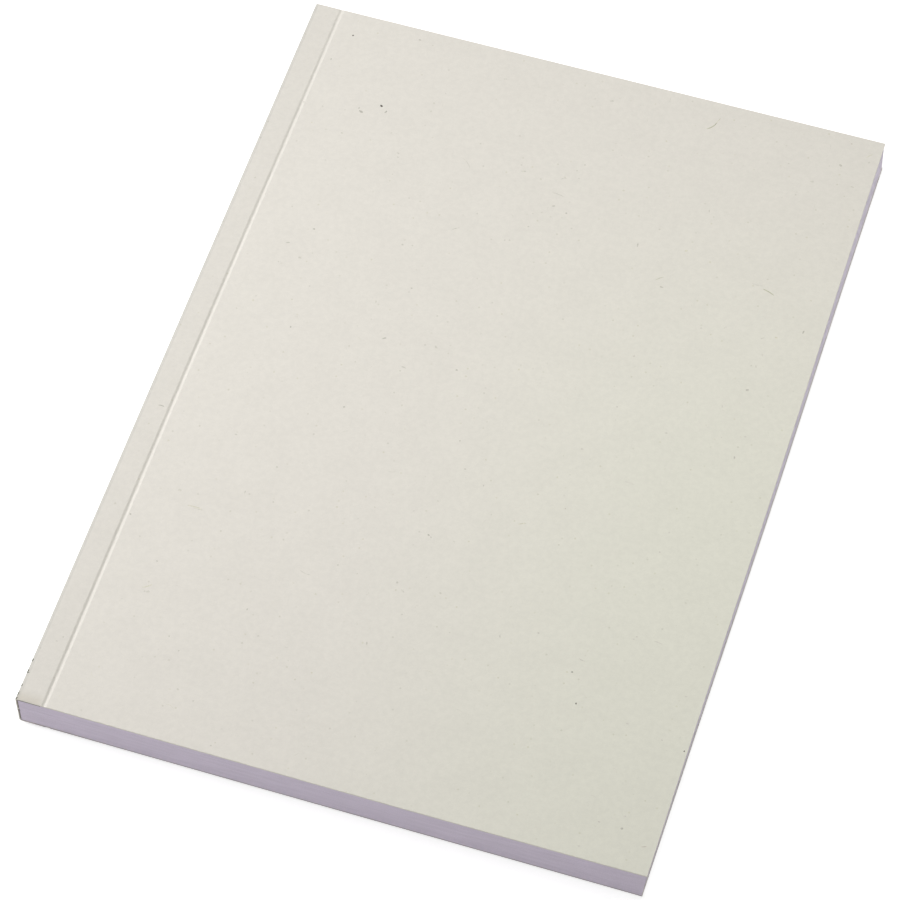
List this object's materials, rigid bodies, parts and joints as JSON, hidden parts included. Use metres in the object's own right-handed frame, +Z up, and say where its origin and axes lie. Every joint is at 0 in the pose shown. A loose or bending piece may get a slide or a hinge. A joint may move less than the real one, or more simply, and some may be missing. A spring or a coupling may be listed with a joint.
{
  "type": "softcover notebook",
  "caption": "Closed perfect-bound softcover notebook: a folded recycled-card cover, scored to hinge along the spine, glued round a trimmed page block.",
  "frame": {"origin": "middle of the closed book's underside, on the surface that it lies on", "axes": "+X from the spine towards the fore edge, +Y from the foot towards the head, +Z up through the thickness to the front cover"},
  "size_m": [0.148, 0.21, 0.0102],
  "materials": {
    "cover_card": "uncoated recycled card with fibres",
    "page_paper": "trimmed uncoated pages",
    "binding_glue": "satin, darkened by age"
  },
  "bodies": {
    "book_block": {"page_block": "page_paper", "spine_glue": "binding_glue", "spine_cover": "cover_card"},
    "front_cover": {"front_cover": "cover_card"},
    "back_cover": {"back_cover": "cover_card"}
  },
  "joints": [
    {"name": "front_cover_hinge", "type": "hinge", "parent": "book_block", "child": "front_cover", "pos_m": [-0.0672, 0, 0.0102], "axis": [0, -1, 0], "range_deg": [0, 179.95]},
    {"name": "back_cover_hinge", "type": "hinge", "parent": "book_block", "child": "back_cover", "pos_m": [-0.0672, 0, 0], "axis": [0, 1, 0], "range_deg": [0, 179.95]}
  ]
}
